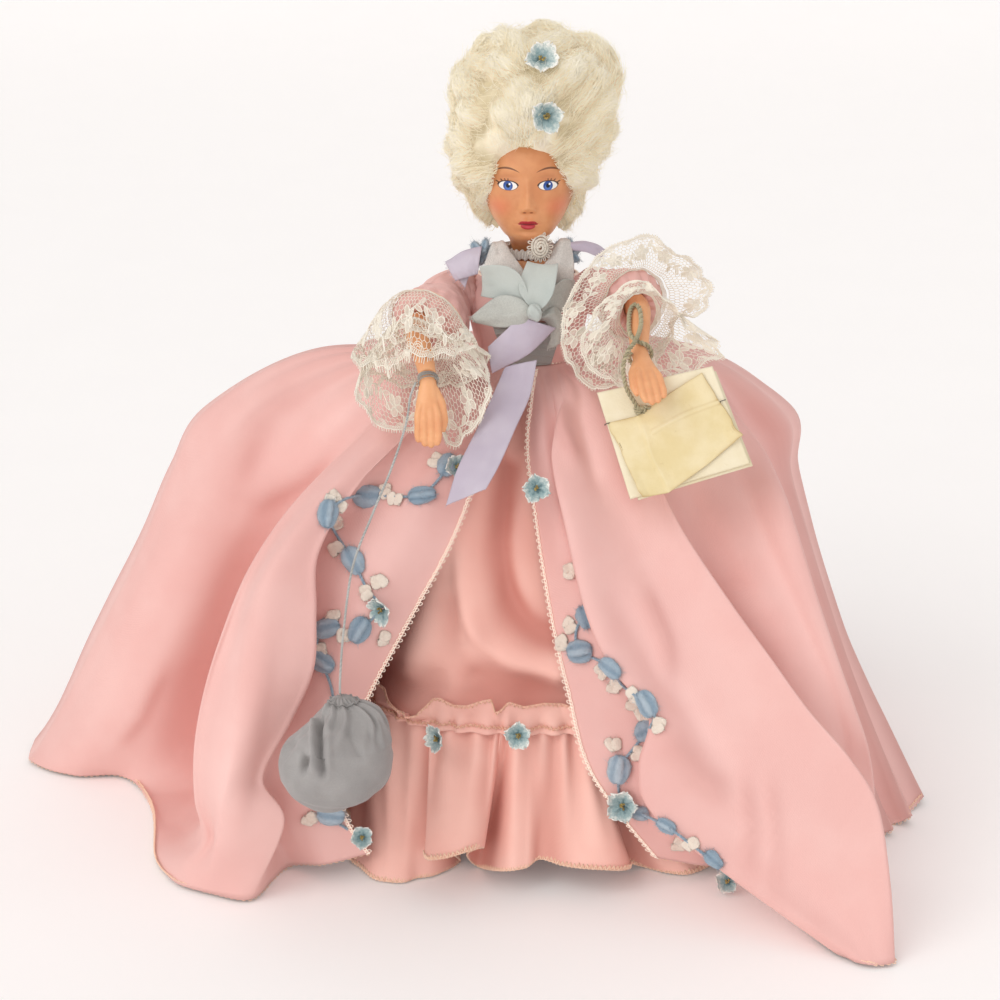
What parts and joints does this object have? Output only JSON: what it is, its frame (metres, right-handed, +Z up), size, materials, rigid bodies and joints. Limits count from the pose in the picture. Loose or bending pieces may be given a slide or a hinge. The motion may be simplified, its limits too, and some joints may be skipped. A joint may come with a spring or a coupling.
{
  "type": "costume doll",
  "caption": "Jointed hard-plastic costume doll in court dress: curled wig, open overskirt over a flounced underskirt, lace ruffles, hanging bag and card tag; head turns, arms swing.",
  "frame": {"origin": "bottom centre of the bounding box, on the surface the doll stands on", "axes": "+Z up, the doll faces -Y, its left side is +X"},
  "size_m": [0.2437, 0.1875, 0.2026],
  "materials": {
    "skin_plastic": "painted tan hard plastic, satin",
    "elastic": "thin elastic",
    "steel": "bent wire",
    "mohair": "pale cream curled mohair",
    "net": "stiff open net",
    "pink_satin": "fine pink synthetic satin, soft sheen",
    "lace": "ivory machine lace",
    "grey_blue_chiffon": "crepe chiffon, gathered",
    "aqua_ribbon": "sheer crepe ribbon",
    "lavender_ribbon": "satin ribbon",
    "blue_trim": "puffed braid",
    "cloth_flower": "stiffened cloth petals, gold-sprayed centres",
    "cord": "twisted silky cord",
    "card": "thin card, worn",
    "aged_paper": "yellowed bare paper"
  },
  "bodies": {
    "doll_body": {"torso_front": "skin_plastic", "torso_back": "skin_plastic", "arm_elastic": "elastic", "bodice": "pink_satin", "right_leg": "skin_plastic", "left_leg": "skin_plastic", "stomacher": "grey_blue_chiffon", "right_fichu": "grey_blue_chiffon", "left_fichu": "grey_blue_chiffon", "neck_trim": "lace", "right_shoulder_posy": "blue_trim", "left_shoulder_posy": "blue_trim", "right_shoulder_ribbon": "lavender_ribbon", "left_shoulder_ribbon": "lavender_ribbon", "bow_loop_left": "aqua_ribbon", "bow_loop_right": "aqua_ribbon", "bow_end_left": "aqua_ribbon", "bow_loop_side": "aqua_ribbon", "bow_knot": "aqua_ribbon", "sash_upper": "lavender_ribbon", "sash_tail": "lavender_ribbon", "waistband": "pink_satin", "petticoat": "net", "underskirt": "pink_satin", "underskirt_heading": "pink_satin", "underskirt_flounce": "pink_satin", "flounce_flower_right": "cloth_flower", "flounce_flower_left": "cloth_flower", "overskirt_right": "pink_satin", "overskirt_back": "pink_satin", "overskirt_left": "pink_satin", "right_garland": "blue_trim", "left_garland": "blue_trim", "right_garland_flower_top": "cloth_flower", "right_garland_flower_middle": "cloth_flower", "right_garland_flower_bottom": "cloth_flower", "left_garland_flower_top": "cloth_flower", "left_garland_flower_middle": "cloth_flower", "left_garland_flower_bottom": "cloth_flower"},
    "head": {"head": "skin_plastic", "wig_cap": "net", "wig": "mohair", "hair_flower_upper": "cloth_flower", "hair_flower_lower": "cloth_flower"},
    "right_arm": {"right_arm": "skin_plastic", "right_arm_hook": "steel", "right_wrist_cord": "cord", "right_sleeve": "pink_satin", "right_lace_upper": "lace", "right_lace_lower": "lace"},
    "left_arm": {"left_arm": "skin_plastic", "left_arm_hook": "steel", "left_sleeve": "pink_satin", "left_lace_upper": "lace", "left_lace_lower": "lace"},
    "reticule": {"reticule_cord": "cord", "reticule_pouch": "grey_blue_chiffon"},
    "tag": {"tag_cord": "cord", "tag_card": "card", "tag_label": "aged_paper"}
  },
  "joints": [
    {"name": "head_turn", "type": "hinge", "parent": "doll_body", "child": "head", "pos_m": [0.01904, 0.00903, 0.145], "axis": [0, 0, 1], "range_deg": [-45, 45]},
    {"name": "right_arm_swing", "type": "hinge", "parent": "doll_body", "child": "right_arm", "pos_m": [0.00184, 0.00903, 0.137], "axis": [-1, 0, 0], "range_deg": [0, 45]},
    {"name": "left_arm_swing", "type": "hinge", "parent": "doll_body", "child": "left_arm", "pos_m": [0.03624, 0.00903, 0.137], "axis": [-1, 0, 0], "range_deg": [0, 45]},
    {"name": "reticule_swing", "type": "hinge", "parent": "right_arm", "child": "reticule", "pos_m": [-0.00546, -0.02897, 0.125], "axis": [-1, 0, 0], "range_deg": [-45, 0]},
    {"name": "tag_swing", "type": "hinge", "parent": "left_arm", "child": "tag", "pos_m": [0.04634, -0.02697, 0.1299], "axis": [-1, 0, 0], "range_deg": [-45, 0]}
  ],
  "couplings": [
    {"joint": "reticule_swing", "follows": "right_arm_swing", "ratio": -1},
    {"joint": "tag_swing", "follows": "left_arm_swing", "ratio": -1}
  ]
}
